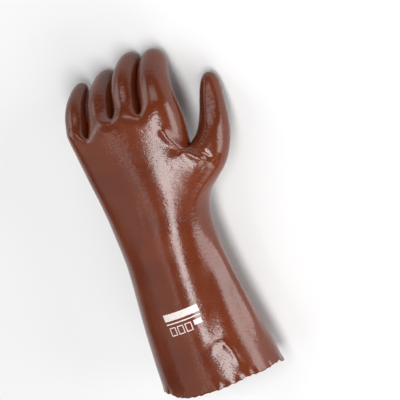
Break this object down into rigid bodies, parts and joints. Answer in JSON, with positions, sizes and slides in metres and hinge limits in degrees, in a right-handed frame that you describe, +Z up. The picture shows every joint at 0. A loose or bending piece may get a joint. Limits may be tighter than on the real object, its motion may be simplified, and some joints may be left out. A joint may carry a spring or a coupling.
{
  "type": "chemical-resistant gauntlet glove",
  "caption": "Left-hand dipped gauntlet glove, hollow to the fingertips, lying palm down with bent fingers and a flared cuff.",
  "frame": {"origin": "middle of the glove's box, on the surface that it lies on", "axes": "+Y from the cuff to the fingertips, +X towards the thumb, +Z up from the palm to the back of the hand"},
  "size_m": [0.1538, 0.3144, 0.089],
  "materials": {
    "glove": "gloss"
  },
  "bodies": {
    "root": {"glove": "glove"}
  },
  "joints": []
}
